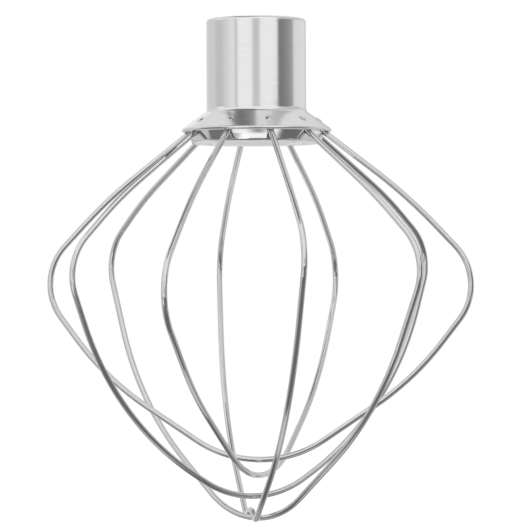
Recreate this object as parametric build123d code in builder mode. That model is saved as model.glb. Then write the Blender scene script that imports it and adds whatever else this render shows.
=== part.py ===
# Wire whisk for a stand mixer: a drawn steel hub, a shaft socket, a closing dish and five sprung wires.
# The origin is the mouth of the shaft bore, at the middle of the hub's top. +Z points up out of it,
# and the wires hang below. Lengths are millimetres, and each drop is measured down from the hub's top.
import math
import os
from collections import namedtuple

from build123d import *

# Hub sleeve: a cup drawn from one sheet, turned in at the top and flared to a cone at the foot
hub_d = 31.75
sheet_t = 1.0
top_edge_r = 1.05
cone_drop = 29.35
cone_angle = 35.6
cone_blend_r = 1.9
rim_d = 47.8
rim_bead_r = 0.62

# Shaft socket: a turned tube with a collar under the hub's top, spread over the dish below
bore_r = 6.45
socket_wall = 1.5
collar_r = 11.0
collar_t = 2.0
flare_r = 10.2
flare_t = 0.9
flare_edge_r = 0.5
pin_slot_w = 5.4
pin_reach = 9.8
pin_drop = 10.0
pin_turn = 55.0

# Closing dish: a pressed pan with a notch for every wire and a recessed middle
dish_r = 21.3
dish_draft = 0.45
dish_drop = 39.8
dish_corner_r = 1.15
belly_drop = 37.0
belly_inset = 0.12
belly_r = 16.0
recess_r = 13.5
recess_depth = 2.0
recess_blend_r = 1.0
dish_seat_gap = 0.1

# Wires: round spring wire, hooked up through the cone and headed over outside
wire_d = 1.9
whisk_drop = 159.0
hook_bend_r = 1.2
hole_r = 20.0
head_r = 1.3
head_h = 0.4
waist_r = 48.0
waist_drop = 56.65
waist_bend_share = 0.33
shoulder_angle = 46.6
shoulder_bend_r = 18.0
knee_r = 49.5
knee_bend_r = 92.0
knee_lean_share = 0.5

# Where the fourth wire steps over the fifth, between two low feet
step_half = 1.7
step_bend_r = 2.0
foot_half = 6.0

# Fits
socket_fit = 0.1
wire_hole_fit = 0.1
notch_fit = 0.15
rim_gap = 0.05
crossing_gap = 0.45
seat_gap = 0.02

# Each wire's two legs, each with the angles of its hole, shoulder and knee about the hub, the reach of its
# two shoulders past the waist, the rise of its knees and of its lowest point above the whisk's drop, the
# radius of its bottom bend, and the small sideways lean of the bottom. The fourth wire's last three belong
# to its feet and its step.
Wire = namedtuple("Wire", "name legs reach knee_rise rise bottom_r lean")
wires = [
    Wire(
        "whisk_wire_1", ((0.0, 0.0, 0.0), (177.0, 177.0, 177.0)),
        (25.7, 24.9), 44.1, 18.5, 37.0, (0.6, 0.0),
    ),
    Wire(
        "whisk_wire_2", ((214.0, 214.0, 214.0), (33.0, 33.0, 33.0)),
        (19.4, 16.4), 31.9, 7.0, 33.5, (-1.0, -0.8),
    ),
    Wire(
        "whisk_wire_3", ((251.2, 252.2, 251.8), (70.2, 72.1, 72.3)),
        (27.6, 22.4), 40.9, 13.6, 39.0, (1.5, -0.2),
    ),
    Wire(
        "whisk_wire_4", ((287.4, 289.3, 288.1), (107.4, 107.0, 107.9)),
        (14.8, 18.2), 32.0, -1.1, 4.0, (-2.4, 0.8),
    ),
    Wire(
        "whisk_wire_5", ((322.8, 327.4, 324.9), (146.3, 146.3, 146.3)),
        (18.4, 16.8), 34.7, 0.0, 27.8, (-1.1, 0.0),
    ),
]
stepped, crossed = wires[3], wires[4]

# Worked-out sizes of the hub
hub_r = hub_d / 2
wire_r = wire_d / 2
shoulder_tilt = math.radians(shoulder_angle)
socket_r = bore_r + socket_wall
slope = math.tan(math.radians(cone_angle))
slant = math.cos(math.radians(cone_angle))
bead_r = rim_d / 2 - rim_bead_r
edge_r = bead_r + rim_bead_r * slope * slant
bead_z = -cone_drop - (bead_r - hub_r) * slope - rim_bead_r / slant
recess_z = -dish_drop + recess_depth
dish_edge_z = -cone_drop - (dish_r - hub_r) * slope - sheet_t / slant - dish_seat_gap
collar_z = -sheet_t - seat_gap
flare_z = recess_z - seat_gap

# A wire leaves the hub just under the rim's bead, on the line that meets its waist
waist_away = math.hypot(waist_r - bead_r, bead_z + waist_drop)
exit_angle = math.atan2(bead_z + waist_drop, waist_r - bead_r)
exit_angle = exit_angle - math.asin((rim_bead_r + wire_r + rim_gap) / waist_away)
exit_slope = math.tan(exit_angle)

# Its hook stands square to the cone, under the middle of the hole
hole_z = -cone_drop - (hole_r - hub_r) * slope
hook_depth = (hole_z + waist_drop - (waist_r - hole_r) * exit_slope) / (slant * (1 + slope * exit_slope))
hook_r = hole_r - hook_depth * slope * slant
hook_z = hole_z - hook_depth * slant

# Each notch in the dish's wall clears the wire where it slopes through the sheet
wall_r = dish_r - sheet_t / 2
notch_r = wire_r + notch_fit
notch_z = -waist_drop + (waist_r - wall_r) * exit_slope - sheet_t * exit_slope / 2 - notch_fit
notch_h = dish_edge_z - notch_z + sheet_t
notch_turn_share = (wall_r - hook_r) / (waist_r - hook_r) * waist_r / wall_r / 2


def at(radius, height, angle):
    turn = math.radians(angle)
    return Vector(radius * math.cos(turn), radius * math.sin(turn), height)


def cone_normal(angle):
    return at(slope * slant, slant, angle)


def leg_points(wire, side):
    hole, shoulder, knee = wire.legs[side]
    waist = (hole + shoulder) / 2
    reach = wire.reach[side]
    shoulder_z = -waist_drop - reach * math.tan(shoulder_tilt)
    return [
        at(hole_r, hole_z, hole) + cone_normal(hole) * seat_gap,
        at(hook_r, hook_z, hole),
        at(waist_r, -waist_drop, waist),
        at(waist_r + reach, shoulder_z, shoulder),
        at(knee_r, wire.knee_rise - whisk_drop, knee) + lean(wire) * knee_lean_share,
    ]


def lean(wire):
    return Vector(wire.lean[0], wire.lean[1], 0)


def leg_bends(reach):
    # The waist's bend takes up a share of the run from the waist to the shoulder
    waist_bend_run = waist_bend_share * reach / math.cos(shoulder_tilt)
    waist_bend_r = waist_bend_run / math.tan((shoulder_tilt - exit_angle) / 2)
    return [hook_bend_r, waist_bend_r, shoulder_bend_r, knee_bend_r]


def bottom_corner(wire):
    # The two legs meet in the tangents from the knees to the bottom bend
    centre_rise = wire.rise - wire.knee_rise + wire.bottom_r
    away = math.hypot(knee_r, centre_rise)
    fall = math.asin(wire.bottom_r / away) - math.atan2(centre_rise, knee_r)
    return lean(wire) + Vector(0, 0, wire.knee_rise - whisk_drop - knee_r * math.tan(fall))


def step_points():
    # A low foot on either side, and a short flat step over the crossed wire
    middle = lean(stepped)
    foot_z = stepped.rise - whisk_drop
    step_z = crossed.rise - whisk_drop + wire_d + crossing_gap
    first, second = (knee for hole, shoulder, knee in stepped.legs)
    return [
        middle + at(foot_half, foot_z, first),
        middle + at(step_half, step_z, first),
        middle + at(step_half, step_z, second),
        middle + at(foot_half, foot_z, second),
    ]


def wire_path(wire):
    down = leg_points(wire, 0)
    up = leg_points(wire, 1)[::-1]
    if wire is stepped:
        middle = step_points()
        bends = [wire.bottom_r, step_bend_r, step_bend_r, wire.bottom_r]
    else:
        middle = [bottom_corner(wire)]
        bends = [wire.bottom_r]
    bends = leg_bends(wire.reach[0]) + bends + leg_bends(wire.reach[1])[::-1]
    return down + middle + up, bends


os.makedirs("parts", exist_ok=True)
legs = [leg for wire in wires for leg in wire.legs]

# Hub sleeve
with BuildPart() as hub_sleeve:
    with BuildSketch(Plane.XZ):
        with BuildLine():
            outside = FilletPolyline(
                (socket_r + socket_fit, 0),
                (hub_r, 0),
                (hub_r, -cone_drop),
                (edge_r, -cone_drop - (edge_r - hub_r) * slope),
                radius=[top_edge_r, cone_blend_r],
            )
            offset(outside, amount=sheet_t, side=Side.RIGHT)
        make_face()
        with Locations((bead_r, bead_z)):
            Circle(rim_bead_r)
    revolve(axis=Axis.Z)
    for hole, shoulder, knee in legs:
        with BuildSketch(Plane(at(hole_r, hole_z, hole), z_dir=cone_normal(hole))):
            Circle(wire_r + wire_hole_fit)
        extrude(amount=2 * sheet_t, both=True, mode=Mode.SUBTRACT)
    with BuildSketch(Plane.XY):
        Rectangle(pin_reach, pin_slot_w, align=(Align.MIN, Align.CENTER))
    extrude(amount=-2 * sheet_t, mode=Mode.SUBTRACT)
hub_sleeve.part.label = "hub_sleeve"
export_step(hub_sleeve.part, "parts/hub_sleeve.step")

# Shaft socket, with a slot down its wall for the cross pin of the shaft and a turn to lock it
with BuildPart() as shaft_socket:
    with BuildSketch(Plane.XZ):
        with BuildLine():
            Polyline(
                (bore_r, 0),
                (socket_r, 0),
                (socket_r, collar_z),
                (collar_r, collar_z),
                (collar_r, collar_z - collar_t),
                (socket_r, collar_z - collar_t),
                (socket_r, flare_z),
                (flare_r, flare_z),
                (flare_r, flare_z - flare_t),
                (bore_r, flare_z - flare_t),
                close=True,
            )
        make_face()
    revolve(axis=Axis.Z)
    foot_edges = shaft_socket.edges().filter_by(GeomType.CIRCLE).group_by(Axis.Z)[0]
    fillet(foot_edges.sort_by(SortBy.RADIUS)[-1], flare_edge_r)
    with BuildSketch(Plane.XY):
        Rectangle(pin_reach, pin_slot_w, align=(Align.MIN, Align.CENTER))
    extrude(amount=-pin_drop - pin_slot_w / 2, mode=Mode.SUBTRACT)
    with BuildSketch(Plane.XZ):
        with Locations((0, -pin_drop)):
            Rectangle(pin_reach, pin_slot_w, align=(Align.MIN, Align.CENTER))
    revolve(axis=Axis.Z, revolution_arc=pin_turn, mode=Mode.SUBTRACT)
shaft_socket.part.label = "shaft_socket"
export_step(shaft_socket.part, "parts/shaft_socket.step")

# Closing dish
with BuildPart() as closing_dish:
    with BuildSketch(Plane.XZ):
        with BuildLine():
            underside = FilletPolyline(
                (socket_r + socket_fit, recess_z),
                (recess_r, recess_z),
                (recess_r + recess_depth, -dish_drop),
                (dish_r - dish_draft, -dish_drop),
                (dish_r - belly_inset, -belly_drop),
                (dish_r, dish_edge_z),
                radius=[recess_blend_r, recess_blend_r, dish_corner_r, belly_r],
            )
            offset(underside, amount=sheet_t, side=Side.LEFT)
        make_face()
    revolve(axis=Axis.Z)
    for hole, shoulder, knee in legs:
        angle = hole + notch_turn_share * (shoulder - hole)
        across = at(1, 0, angle + 90)
        with BuildSketch(Plane(at(wall_r, notch_z, angle), x_dir=across, z_dir=at(1, 0, angle))):
            Circle(notch_r)
            Rectangle(2 * notch_r, notch_h, align=(Align.CENTER, Align.MIN))
        extrude(amount=sheet_t, both=True, mode=Mode.SUBTRACT)
closing_dish.part.label = "closing_dish"
export_step(closing_dish.part, "parts/closing_dish.step")

# Wires, each with a low domed head on both ends
for wire in wires:
    points, bends = wire_path(wire)
    with BuildPart() as whisk_wire:
        with BuildLine() as route:
            FilletPolyline(*points, radius=bends)
        with BuildSketch(Plane(route.line @ 0, z_dir=route.line % 0)):
            Circle(wire_r)
        sweep()
        for hole, shoulder, knee in wire.legs:
            seat = at(hole_r, hole_z, hole) + cone_normal(hole) * seat_gap
            across = at(1, 0, hole + 90)
            with BuildSketch(Plane(seat, x_dir=across, z_dir=at(slant, -slope * slant, hole))):
                with BuildLine():
                    Line((0, 0), (head_r, 0))
                    TangentArc((0, head_h), (head_r, 0), tangent=(1, 0))
                    Line((0, head_h), (0, 0))
                make_face()
            revolve(axis=Axis(seat, cone_normal(hole)))
    whisk_wire.part.label = wire.name
    export_step(whisk_wire.part, f"parts/{wire.name}.step")
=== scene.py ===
import math

import bpy
from mathutils import Matrix, Vector


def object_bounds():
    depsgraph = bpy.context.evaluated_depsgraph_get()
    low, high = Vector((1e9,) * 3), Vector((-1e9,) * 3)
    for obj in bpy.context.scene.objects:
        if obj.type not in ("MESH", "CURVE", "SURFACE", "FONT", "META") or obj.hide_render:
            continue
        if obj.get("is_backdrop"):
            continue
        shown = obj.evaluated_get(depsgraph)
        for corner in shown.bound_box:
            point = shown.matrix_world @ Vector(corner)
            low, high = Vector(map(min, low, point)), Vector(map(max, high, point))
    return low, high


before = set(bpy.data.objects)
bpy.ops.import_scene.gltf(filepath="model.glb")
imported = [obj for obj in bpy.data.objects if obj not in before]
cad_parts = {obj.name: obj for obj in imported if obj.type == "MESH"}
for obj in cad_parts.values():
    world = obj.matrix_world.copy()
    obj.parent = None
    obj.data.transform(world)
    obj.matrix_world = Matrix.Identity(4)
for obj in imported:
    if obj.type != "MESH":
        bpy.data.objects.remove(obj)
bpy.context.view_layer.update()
scene = bpy.context.scene
print("frame loaded:", len(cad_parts), "nodes")


# Short helpers for node trees, used by every finish and by the studio
def clearTree(owner):
    owner.use_nodes = True
    owner.node_tree.nodes.clear()
    return owner.node_tree


def addNode(tree, kind, **settings):
    node = tree.nodes.new(kind)
    for key, value in settings.items():
        setattr(node, key, value)
    return node


def feed(tree, socket, value):
    if isinstance(value, bpy.types.NodeSocket):
        tree.links.new(value, socket)
    else:
        socket.default_value = value


def doMath(tree, operation, first, second=0.0, third=0.0):
    node = addNode(tree, "ShaderNodeMath", operation=operation)
    for socket, value in zip(node.inputs, (first, second, third)):
        feed(tree, socket, value)
    return node.outputs[0]


def remap(tree, value, span, result, smooth=False):
    node = addNode(tree, "ShaderNodeMapRange", interpolation_type="SMOOTHSTEP" if smooth else "LINEAR")
    for socket, item in zip(node.inputs, (value, *span, *result)):
        feed(tree, socket, item)
    return node.outputs[0]


def noise(tree, vector, scale, detail, roughness=0.55):
    node = addNode(tree, "ShaderNodeTexNoise")
    for label, value in (("Vector", vector), ("Scale", scale), ("Detail", detail), ("Roughness", roughness)):
        feed(tree, node.inputs[label], value)
    return node.outputs[0]


def newGroup(name, inputs, outputs):
    tree = bpy.data.node_groups.new(name, "ShaderNodeTree")
    tree.interface.new_socket("Place", in_out="INPUT", socket_type="NodeSocketVector")
    for label, value in inputs.items():
        tree.interface.new_socket(label, in_out="INPUT", socket_type="NodeSocketFloat").default_value = value
    for label in outputs:
        tree.interface.new_socket(label, in_out="OUTPUT", socket_type="NodeSocketFloat")
    return tree, addNode(tree, "NodeGroupInput").outputs, addNode(tree, "NodeGroupOutput").inputs


def useGroup(tree, group, **values):
    node = addNode(tree, "ShaderNodeGroup", node_tree=group)
    for label, value in values.items():
        feed(tree, node.inputs[label], value)
    return node.outputs


# Lines left by spinning or turning: they run round the axis and change along the profile
lineSetup = {"perMetre": 6000.0, "breaks": 3.0, "shares": {"Fine": 1.0, "Broad": 0.12}, "axisGap": 0.0001,
             "detail": 2.0}


def buildSpunLines():
    tree, given, out = newGroup(
        "spunLines", {"PerMetre": lineSetup["perMetre"], "Breaks": lineSetup["breaks"]}, lineSetup["shares"])
    split = addNode(tree, "ShaderNodeSeparateXYZ")
    feed(tree, split.inputs[0], given["Place"])
    across, along, up = split.outputs
    squares = [doMath(tree, "MULTIPLY", side, side) for side in (across, along)]
    radius = doMath(tree, "SQRT", doMath(tree, "ADD", *squares))
    safeRadius = doMath(tree, "MAXIMUM", radius, lineSetup["axisGap"])  # no division by zero on the axis
    profile = doMath(tree, "SUBTRACT", radius, up)  # grows from the middle of the top down to the rim
    steps = doMath(tree, "MULTIPLY", profile, given["PerMetre"])
    for label, share in lineSetup["shares"].items():
        join = addNode(tree, "ShaderNodeCombineXYZ")
        for socket, side in zip(join.inputs, (across, along)):
            heading = doMath(tree, "DIVIDE", side, safeRadius)
            feed(tree, socket, doMath(tree, "MULTIPLY", heading, given["Breaks"]))
        feed(tree, join.inputs[2], doMath(tree, "MULTIPLY", steps, share))
        feed(tree, out[label], noise(tree, join.outputs[0], 1.0, lineSetup["detail"]))
    return tree


# Handling marks: soft smudges, and a few hairline scratches in patches
handlingSetup = {
    "smudgeScale": 90.0, "smudgeDetail": 4.0, "smudgeRoughness": 0.6, "smudgeSpan": (0.42, 0.72),
    "scratchScale": 260.0, "scratchDetail": 1.0, "tilts": ((0.3, 0.2, 0.9), (1.1, 0.7, 2.2)),
    "stretch": (1.0, 0.06, 1.0), "hairline": 0.006,
    "patchScale": 55.0, "patchDetail": 2.0, "patchSpan": (0.5, 0.66),
}


def buildHandling():
    setup = handlingSetup
    tree, given, out = newGroup(
        "handlingMarks", {"SmudgeScale": setup["smudgeScale"], "ScratchScale": setup["scratchScale"]},
        ("Smudge", "Scratch"))
    cloud = noise(tree, given["Place"], given["SmudgeScale"], setup["smudgeDetail"], setup["smudgeRoughness"])
    feed(tree, out["Smudge"], remap(tree, cloud, setup["smudgeSpan"], (0.0, 1.0), smooth=True))
    families = []
    for tilt in setup["tilts"]:  # two families of hairlines, crossing
        turned = addNode(tree, "ShaderNodeMapping")
        feed(tree, turned.inputs["Vector"], given["Place"])
        feed(tree, turned.inputs["Rotation"], tilt)
        feed(tree, turned.inputs["Scale"], setup["stretch"])
        wander = noise(tree, turned.outputs[0], given["ScratchScale"], setup["scratchDetail"])
        offLine = doMath(tree, "ABSOLUTE", doMath(tree, "SUBTRACT", wander, 0.5))  # 0.5 is the noise's middle
        families.append(remap(tree, offLine, (0.0, setup["hairline"]), (1.0, 0.0)))
    patchy = noise(tree, given["Place"], setup["patchScale"], setup["patchDetail"])
    patches = remap(tree, patchy, setup["patchSpan"], (0.0, 1.0), smooth=True)
    feed(tree, out["Scratch"], doMath(tree, "MULTIPLY", doMath(tree, "MAXIMUM", *families), patches))
    return tree


spunLines = buildSpunLines()
handlingMarks = buildHandling()
print("shared effects built")


def newSteel(name):
    material = bpy.data.materials.new(name)
    tree = clearTree(material)
    shader = addNode(tree, "ShaderNodeBsdfPrincipled")
    shader.inputs["Metallic"].default_value = 1.0  # every piece is bare steel
    output = addNode(tree, "ShaderNodeOutputMaterial")
    tree.links.new(shader.outputs[0], output.inputs[0])
    place = addNode(tree, "ShaderNodeTexCoord").outputs["Object"]
    return material, tree, shader, place


# Colour and gloss both follow the grain: its low end is the darker and the duller one
def toneByGrain(tree, shader, grain, span, look):
    ramp = addNode(tree, "ShaderNodeValToRGB")
    for element, colour in zip(ramp.color_ramp.elements, (look["dark"], look["light"])):
        element.color = (*colour, 1.0)
    feed(tree, ramp.inputs[0], remap(tree, grain, span, (0.0, 1.0)))
    feed(tree, shader.inputs["Base Color"], ramp.outputs[0])
    bright, dull = look["rough"]
    return remap(tree, grain, span, (dull, bright))


def roughen(tree, shader, height, strength, distance):
    bump = addNode(tree, "ShaderNodeBump")
    feed(tree, bump.inputs["Strength"], strength)
    feed(tree, bump.inputs["Distance"], distance)
    feed(tree, bump.inputs["Height"], height)
    feed(tree, shader.inputs["Normal"], bump.outputs[0])


def dress(nodeNames, material):
    for nodeName in nodeNames:
        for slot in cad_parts[nodeName].material_slots:
            slot.material = material


# Spun steel: hub, dish and socket share the recipe and differ in the second set of values
spunRecipe = {"fine": 0.65, "broad": 0.35, "span": (0.3, 0.7), "scratchDull": 0.12, "bump": 0.5}
spunFinishes = {
    "hubSatin": {"nodes": ["hub_sleeve"], "dark": (0.78, 0.78, 0.783), "light": (0.83, 0.83, 0.832),
                 "perMetre": 9000.0, "rough": (0.12, 0.19), "smudge": 0.03,
                 "lift": 0.0000008, "stretch": 0.4},
    "dishPolish": {"nodes": ["closing_dish"], "dark": (0.8, 0.8, 0.803), "light": (0.88, 0.88, 0.882),
                   "perMetre": 3600.0, "rough": (0.05, 0.1), "smudge": 0.04,
                   "lift": 0.000002, "stretch": 0.3},
    "socketTurned": {"nodes": ["shaft_socket"], "dark": (0.5, 0.5, 0.505), "light": (0.64, 0.64, 0.643),
                     "perMetre": 3000.0, "rough": (0.22, 0.36), "smudge": 0.06,
                     "lift": 0.00001, "stretch": 0.5},
}
for finishName, look in spunFinishes.items():
    material, tree, shader, place = newSteel(finishName)
    lines = useGroup(tree, spunLines, Place=place, PerMetre=look["perMetre"])
    marks = useGroup(tree, handlingMarks, Place=place)
    broad = doMath(tree, "MULTIPLY", lines["Broad"], spunRecipe["broad"])
    grain = doMath(tree, "ADD", doMath(tree, "MULTIPLY", lines["Fine"], spunRecipe["fine"]), broad)
    rough = toneByGrain(tree, shader, grain, spunRecipe["span"], look)
    rough = doMath(tree, "MULTIPLY_ADD", marks["Smudge"], look["smudge"], rough)
    rough = doMath(tree, "MULTIPLY_ADD", marks["Scratch"], spunRecipe["scratchDull"], rough)
    feed(tree, shader.inputs["Roughness"], rough)
    shader.inputs["Anisotropic"].default_value = look["stretch"]
    tangent = addNode(tree, "ShaderNodeTangent", direction_type="RADIAL", axis="Z")
    feed(tree, shader.inputs["Tangent"], tangent.outputs[0])
    relief = doMath(tree, "SUBTRACT", grain, marks["Scratch"])
    roughen(tree, shader, relief, spunRecipe["bump"], look["lift"])
    dress(look["nodes"], material)
print("spun steel dressed")

# Bright drawn wire: even, slightly pebbled by electropolishing, duller in patches
wireFinish = {
    "dark": (0.68, 0.68, 0.684), "light": (0.73, 0.73, 0.733), "rough": (0.07, 0.11), "span": (0.2, 0.65),
    "pebble": 900.0, "pebbleDetail": 2.0, "patch": 70.0, "patchShare": -0.18,
    "scratch": 420.0, "scratchDull": 0.1, "bump": 0.25, "lift": 0.0000004,
}
material, tree, shader, place = newSteel("wireBright")
marks = useGroup(tree, handlingMarks, Place=place,
                 SmudgeScale=wireFinish["patch"], ScratchScale=wireFinish["scratch"])
pebble = noise(tree, place, wireFinish["pebble"], wireFinish["pebbleDetail"])
grain = doMath(tree, "MULTIPLY_ADD", marks["Smudge"], wireFinish["patchShare"], pebble)
rough = toneByGrain(tree, shader, grain, wireFinish["span"], wireFinish)
rough = doMath(tree, "MULTIPLY_ADD", marks["Scratch"], wireFinish["scratchDull"], rough)
feed(tree, shader.inputs["Roughness"], rough)
roughen(tree, shader, pebble, wireFinish["bump"], wireFinish["lift"])
dress([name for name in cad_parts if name.startswith("whisk_wire")], material)
print("wires dressed")


# Camera at the photograph's place: a long lens, level with the middle of the object
cameraSetup = {"distance": 0.95, "turn": 5.5, "level": -0.0784, "aside": 0.00252, "roll": -0.005,
               "lens": 202.3, "sensor": 36.0, "nearest": 0.05}
turn = math.radians(cameraSetup["turn"])
upward = Vector((0.0, 0.0, 1.0))
toCamera = Vector((math.sin(turn), -math.cos(turn), 0.0))
toRight = Vector((math.cos(turn), math.sin(turn), 0.0))
axes = Matrix((toRight, upward, toCamera)).transposed() @ Matrix.Rotation(cameraSetup["roll"], 3, "Z")
cameraData = bpy.data.cameras.new("photoCamera")
cameraData.lens = cameraSetup["lens"]
cameraData.sensor_width = cameraSetup["sensor"]
cameraData.clip_start = cameraSetup["nearest"]
camera = bpy.data.objects.new("photoCamera", cameraData)
scene.collection.objects.link(camera)
camera.matrix_world = axes.to_4x4()
camera.location = (toCamera * cameraSetup["distance"] + toRight * cameraSetup["aside"]
                   + upward * cameraSetup["level"])
scene.camera = camera
print("camera set")


# White studio: the world is white to the camera, and to reflections it falls off behind the object
studio = {
    "fill": 0.95, "white": 1.0, "behind": 0.72, "behindTop": 0.84,
    "riseSpan": (0.25, 0.7), "backSpan": (-0.1, 0.35),
    "floorSize": 12.0, "floorDrop": -0.21, "floorTone": 0.9, "floorGlow": 0.14,
    "boxSize": 1.1, "boxPower": 4.5, "boxPlace": (-0.35, -0.25, 1.05),
}
world = bpy.data.worlds.new("whiteStudio")
scene.world = world
tree = clearTree(world)
rays = addNode(tree, "ShaderNodeLightPath").outputs
direction = addNode(tree, "ShaderNodeSeparateXYZ")
feed(tree, direction.inputs[0], addNode(tree, "ShaderNodeTexCoord").outputs["Generated"])
behind = remap(tree, direction.outputs[2], studio["riseSpan"], (studio["behind"], studio["behindTop"]))
falloff = remap(tree, direction.outputs[1], studio["backSpan"], (studio["white"], behind), smooth=True)
seen = doMath(tree, "MULTIPLY", rays["Is Camera Ray"], studio["white"])
seen = doMath(tree, "MULTIPLY_ADD", rays["Is Glossy Ray"], falloff, seen)
direct = doMath(tree, "MAXIMUM", rays["Is Camera Ray"], rays["Is Glossy Ray"])
plain = doMath(tree, "SUBTRACT", 1.0, direct)  # rays that only carry light
background = addNode(tree, "ShaderNodeBackground")
background.inputs["Color"].default_value = (1.0, 1.0, 1.0, 1.0)
feed(tree, background.inputs["Strength"], doMath(tree, "MULTIPLY_ADD", plain, studio["fill"], seen))
output = addNode(tree, "ShaderNodeOutputWorld")
tree.links.new(background.outputs[0], output.inputs[0])

bpy.ops.object.select_all(action="DESELECT")
bpy.ops.mesh.primitive_plane_add(size=studio["floorSize"], location=(0, 0, studio["floorDrop"]))
floor = bpy.context.object
floor.name = "studioFloor"
material = bpy.data.materials.new("paleFloor")
tree = clearTree(material)
rays = addNode(tree, "ShaderNodeLightPath").outputs
matt = addNode(tree, "ShaderNodeBsdfDiffuse")
matt.inputs[0].default_value = (studio["floorTone"],) * 3 + (1.0,)
glow = addNode(tree, "ShaderNodeEmission")
direct = doMath(tree, "MAXIMUM", rays["Is Camera Ray"], rays["Is Glossy Ray"])
feed(tree, glow.inputs["Strength"], doMath(tree, "MULTIPLY", direct, studio["floorGlow"]))
both = addNode(tree, "ShaderNodeAddShader")
tree.links.new(matt.outputs[0], both.inputs[0])
tree.links.new(glow.outputs[0], both.inputs[1])
output = addNode(tree, "ShaderNodeOutputMaterial")
tree.links.new(both.outputs[0], output.inputs[0])
floor.data.materials.append(material)
floor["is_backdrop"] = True

boxData = bpy.data.lights.new("softBox", "AREA")
boxData.shape = "SQUARE"
boxData.size = studio["boxSize"]
boxData.energy = studio["boxPower"]
softBox = bpy.data.objects.new("softBox", boxData)
softBox.location = studio["boxPlace"]
aim = -Vector(studio["boxPlace"])  # towards the hub's top, where the origin is
softBox.rotation_euler = aim.to_track_quat("-Z", "Y").to_euler()
softBox.visible_glossy = False  # the cards below make the reflections
scene.collection.objects.link(softBox)
print("studio built")


# Cards that only reflections see: each stands at an angle from the camera, and greys from left to right
# Lean swings the lower edge round, and soft fades the left, right, lower and upper edges, as shares of the card
cards = {
    "rightFlag": {"angles": (51.0, 95.0), "away": 0.9, "heights": (-0.03, 0.22), "greys": (0.15, 0.42)},
    "rightBack": {"angles": (97.0, 150.0), "away": 1.0, "heights": (-0.06, 0.11), "greys": (0.84, 0.84)},
    "rightWall": {"angles": (58.0, 124.0), "away": 1.02, "heights": (0.105, 1.8), "greys": (0.68, 0.58)},
    "cameraGap": {"angles": (-8.0, 8.0), "away": 1.3, "heights": (-0.005, 0.4), "greys": (0.6, 0.6)},
    "leftCard": {"angles": (-108.0, -84.0), "away": 0.9, "heights": (-0.5, 0.1), "greys": (0.62, 0.58)},
    "leftFade": {"angles": (-84.0, -47.0), "away": 0.92, "heights": (-0.5, 0.5), "greys": (0.66, 0.95)},
    "leftLow": {"angles": (-88.0, -40.0), "away": 0.88, "heights": (-0.5, -0.14),
                "greys": (0.58, 0.5), "soft": (0.1, 0.2, 0.0, 0.12)},
    "leftEdge": {"angles": (-49.0, -44.0), "away": 0.9, "heights": (-0.5, 0.5), "greys": (0.48, 0.48)},
    "backLight": {"angles": (-178.0, -156.0), "away": 0.9, "heights": (-0.1, 0.6),
                  "greys": (0.95, 0.95), "soft": (0.4, 0.3, 0.0, 0.3)},
    "backShade": {"angles": (160.0, 178.0), "away": 0.9, "heights": (-0.1, 0.3),
                  "greys": (0.5, 0.55), "soft": (0.2, 0.5, 0.0, 0.3)},
    "lowRight": {"angles": (35.0, 93.0), "away": 0.45, "heights": (-0.15, -0.015),
                 "greys": (0.15, 0.17), "lean": -9.0, "soft": (0.3, 0.16, 0.0, 0.0)},
    "lowLeft": {"angles": (-70.0, -26.0), "away": 0.034, "heights": (-0.0445, -0.031),
                "greys": (0.18, 0.18), "lean": 5.0, "soft": (0.2, 0.3, 0.0, 0.0)},
    "cameraLow": {"angles": (-20.0, 26.0), "away": 0.45, "heights": (-0.118, -0.035),
                  "greys": (0.34, 0.34), "soft": (0.5, 0.5, 0.6, 0.1)},
    "frontLow": {"angles": (-16.0, 20.0), "away": 0.32, "heights": (-0.21, -0.1),
                 "greys": (0.22, 0.18), "soft": (0.12, 0.0, 0.0, 0.2)},
    "frontLowRight": {"angles": (20.0, 56.0), "away": 0.32, "heights": (-0.21, -0.1),
                      "greys": (0.18, 0.2), "soft": (0.0, 0.0, 0.0, 0.2)},
}
sharpEdges = (0.0, 0.0, 0.0, 0.0)


def cardMaterial(name, greys, soft):
    material = bpy.data.materials.new(name)
    tree = clearTree(material)
    split = addNode(tree, "ShaderNodeSeparateXYZ")
    feed(tree, split.inputs[0], addNode(tree, "ShaderNodeTexCoord").outputs["UV"])
    sideways, upwards = split.outputs[0], split.outputs[1]
    glow = addNode(tree, "ShaderNodeEmission")
    feed(tree, glow.inputs["Strength"], remap(tree, sideways, (0.0, 1.0), greys))
    mask = 1.0
    for value, first, last in ((sideways, *soft[:2]), (upwards, *soft[2:])):
        if first > 0.0:
            rise = remap(tree, value, (0.0, first), (0.0, 1.0), smooth=True)
            mask = doMath(tree, "MULTIPLY", rise, mask)
        if last > 0.0:
            fall = remap(tree, value, (1.0 - last, 1.0), (1.0, 0.0), smooth=True)
            mask = doMath(tree, "MULTIPLY", fall, mask)
    mixed = addNode(tree, "ShaderNodeMixShader")
    feed(tree, mixed.inputs[0], mask)
    tree.links.new(addNode(tree, "ShaderNodeBsdfTransparent").outputs[0], mixed.inputs[1])
    tree.links.new(glow.outputs[0], mixed.inputs[2])
    output = addNode(tree, "ShaderNodeOutputMaterial")
    tree.links.new(mixed.outputs[0], output.inputs[0])
    return material


def hangCard(name, corners, card):
    mesh = bpy.data.meshes.new(name)
    mesh.from_pydata(corners, [], [(0, 1, 2, 3)])
    layer = mesh.uv_layers.new(name="across")
    for loop, place in zip(layer.data, ((0, 0), (1, 0), (1, 1), (0, 1))):
        loop.uv = place
    hung = bpy.data.objects.new(name, mesh)
    scene.collection.objects.link(hung)
    mesh.materials.append(cardMaterial(name, card["greys"], card.get("soft", sharpEdges)))
    for hidden in ("visible_camera", "visible_diffuse", "visible_shadow", "visible_transmission"):
        setattr(hung, hidden, False)
    hung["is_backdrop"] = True


def aroundObject(angle, away, height):
    swing = math.radians(angle)
    return (toCamera * math.cos(swing) + toRight * math.sin(swing)) * away + upward * height


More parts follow.
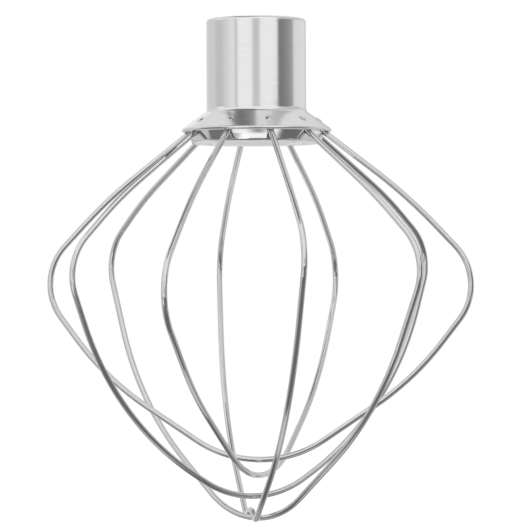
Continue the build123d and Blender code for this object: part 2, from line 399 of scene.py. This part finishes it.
for cardName, card in cards.items():
    left, right = card["angles"]
    low, high = card["heights"]
    lean = card.get("lean", 0.0)
    corners = [(left + lean, low), (right + lean, low), (right, high), (left, high)]
    hangCard(cardName, [aroundObject(angle, card["away"], height) for angle, height in corners], card)

# Level cards: each has its two ends across, its two ends along, its height and its greys
levelCards = {
    "overheadArm": {"across": (-0.62, 0.02), "along": (-0.45, 0.05), "height": 0.95, "greys": (0.2, 0.2)},
    "overheadTail": {"across": (-0.85, -0.21), "along": (0.04, 0.42), "height": 0.955,
                     "greys": (0.25, 0.25), "soft": (0.2, 0.16, 0.0, 0.4)},
    "overheadSpot": {"across": (-0.03, 0.27), "along": (-0.26, 0.04), "height": 0.96,
                     "greys": (0.36, 0.4), "soft": (0.0, 0.35, 0.3, 0.25)},
    "overheadField": {"across": (-0.05, 0.42), "along": (-0.21, 0.3), "height": 0.97, "greys": (0.58, 0.58)},
    "underDish": {"across": (-0.021, 0.021), "along": (-0.021, 0.021), "height": -0.055, "greys": (0.7, 0.7)},
    "lowSpot": {"across": (-0.033, 0.013), "along": (-0.037, -0.006), "height": -0.168,
                "greys": (0.16, 0.14), "soft": (0.22, 0.15, 0.18, 0.2)},
    "lowShade": {"across": (-0.005, 0.075), "along": (0.008, 0.056), "height": -0.203,
                 "greys": (0.3, 0.3), "soft": (0.2, 0.2, 0.2, 0.2)},
    "lowRing": {"across": (-0.075, 0.055), "along": (-0.08, -0.03), "height": -0.2035,
                "greys": (0.7, 0.7), "soft": (0.1, 0.1, 0.2, 0.0)},
    "lowStrip": {"across": (0.038, 0.17), "along": (-0.082, -0.008), "height": -0.2045,
                 "greys": (0.27, 0.4), "soft": (0.14, 0.35, 0.12, 0.25)},
    "lowSide": {"across": (0.2, 0.75), "along": (-0.12, 0.04), "height": -0.206,
                "greys": (0.3, 0.36), "soft": (0.2, 0.2, 0.1, 0.35)},
    "lowFront": {"across": (-0.1, 0.4), "along": (-0.34, -0.08), "height": -0.204, "greys": (0.16, 0.2)},
    "lowFrontLeft": {"across": (-0.4, -0.1), "along": (-0.34, -0.06), "height": -0.204, "greys": (0.6, 0.25)},
    "lowFarLeft": {"across": (-1.6, -0.25), "along": (-1.2, -0.33), "height": -0.2065,
                   "greys": (0.6, 0.42), "soft": (0.1, 0.2, 0.3, 0.0)},
    "lowMiddle": {"across": (-0.17, 0.27), "along": (-0.09, 0.06), "height": -0.205, "greys": (0.45, 0.45)},
    "lowBack": {"across": (-0.3, 0.12), "along": (0.045, 0.5), "height": -0.2055, "greys": (0.85, 0.8)},
    "lowField": {"across": (-5.0, 5.0), "along": (-0.34, 5.0), "height": -0.207, "greys": (0.62, 0.62)},
}
for cardName, card in levelCards.items():
    left, right = card["across"]
    near, far = card["along"]
    corners = [(left, near), (right, near), (right, far), (left, far)]
    hangCard(cardName, [(x, y, card["height"]) for x, y in corners], card)
print("cards hung")

scene.view_settings.view_transform = "Standard"
low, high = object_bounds()
